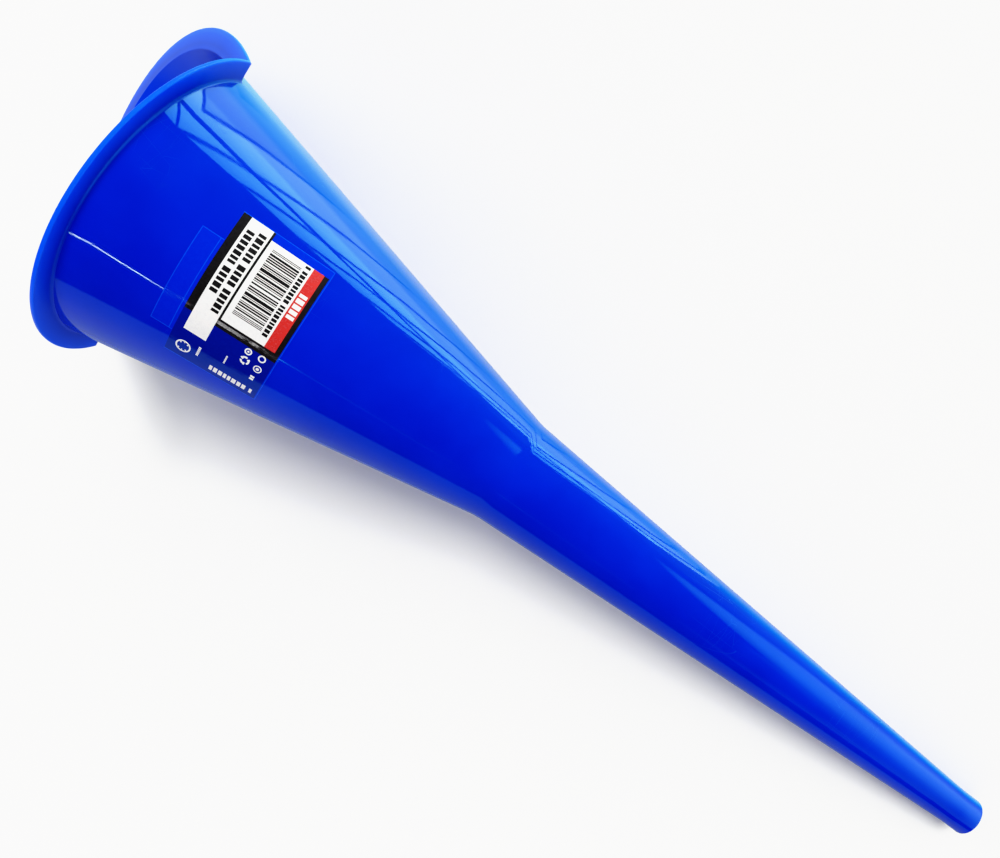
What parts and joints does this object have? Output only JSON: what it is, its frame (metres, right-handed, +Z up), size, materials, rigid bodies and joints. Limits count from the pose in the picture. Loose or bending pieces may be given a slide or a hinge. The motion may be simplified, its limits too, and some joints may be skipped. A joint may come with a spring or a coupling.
{
  "type": "long-neck funnel",
  "caption": "Long-neck plastic funnel with a wide cone, a slanted splash guard with a flat lip, and a printed label film.",
  "frame": {"origin": "centre of the bounding box on the plane that the funnel lies on, the XY plane", "axes": "+Z up, +X from the spout tip towards the mouth; the funnel's own axis lies in the XZ plane and rises 8.87 degrees towards the mouth; the splash guard is down and the half flange is up; symmetric about the XZ plane"},
  "size_m": [0.459, 0.1292, 0.1279],
  "materials": {
    "blue_plastic": "high gloss moulded plastic, probably polypropylene",
    "label_film": "clear self-adhesive film with black and navy print",
    "label_white": "white print",
    "label_red": "red print",
    "label_ink": "black print on white"
  },
  "bodies": {
    "root": {"funnel_body": "blue_plastic", "label_film": "label_film"}
  },
  "joints": []
}
